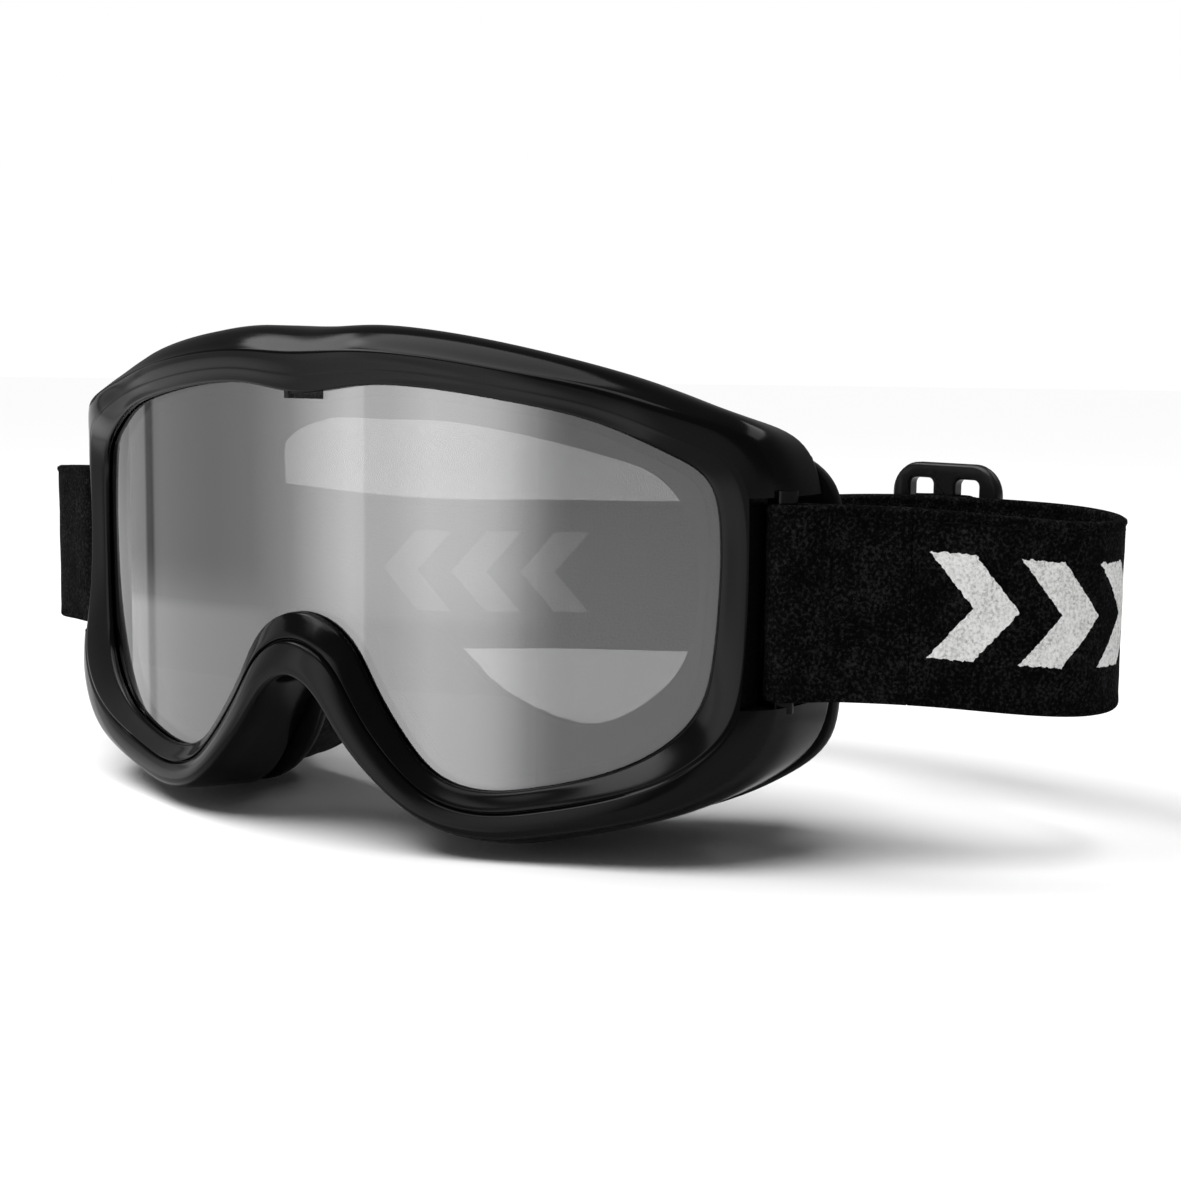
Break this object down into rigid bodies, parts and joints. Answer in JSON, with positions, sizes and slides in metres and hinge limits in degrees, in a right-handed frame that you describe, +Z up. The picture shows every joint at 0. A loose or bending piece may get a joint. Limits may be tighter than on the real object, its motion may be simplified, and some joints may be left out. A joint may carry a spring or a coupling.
{
  "type": "ski goggles",
  "caption": "Snow goggles: wraparound double lens in a moulded frame with a nose arch, face foam, and an elastic strap looped through side slots with a sliding buckle.",
  "frame": {"origin": "on the symmetry plane, at the height of the strap slots, in the plane the face meets at the temples", "axes": "-Y is the front of the lens, +Z is up, +X is the wearer's left"},
  "size_m": [0.261, 0.131, 0.1041],
  "materials": {
    "frame_black": "gloss, moulded",
    "flange_black": "satin, flexible",
    "lens_smoke": "polished, smoke tint with a light mirror coat",
    "lens_clear": "polished, clear",
    "gasket_foam": "closed-cell foam",
    "face_foam_grey": "open-cell foam",
    "fleece_black": "brushed fleece",
    "strap_knit": "looped elastic knit",
    "thread_black": "sewing thread",
    "slider_black": "semi-gloss, moulded"
  },
  "bodies": {
    "frame": {"frame_shell": "frame_black", "face_flange": "flange_black", "lens_outer": "lens_smoke", "lens_inner": "lens_clear", "lens_gasket": "gasket_foam", "face_foam": "face_foam_grey", "face_fleece": "fleece_black", "strap_loop_near": "strap_knit", "strap_loop_far": "strap_knit"},
    "strap": {"strap_seam_near": "thread_black", "strap_main": "strap_knit", "strap_adjuster": "strap_knit", "strap_seam_far": "thread_black"},
    "slider": {"slider_buckle": "slider_black", "strap_hump": "strap_knit"}
  },
  "joints": [
    {"name": "strap_pitch", "type": "hinge", "parent": "frame", "child": "strap", "pos_m": [0, -0.0284, 0], "axis": [1, 0, 0], "range_deg": [-20, 20], "deforming": ["strap_loop_near", "strap_loop_far"]},
    {"name": "slider_slide", "type": "slide", "parent": "strap", "child": "slider", "axis": [-0.9709, 0.2396, 0], "range_m": [-0.01, 0.01]}
  ]
}
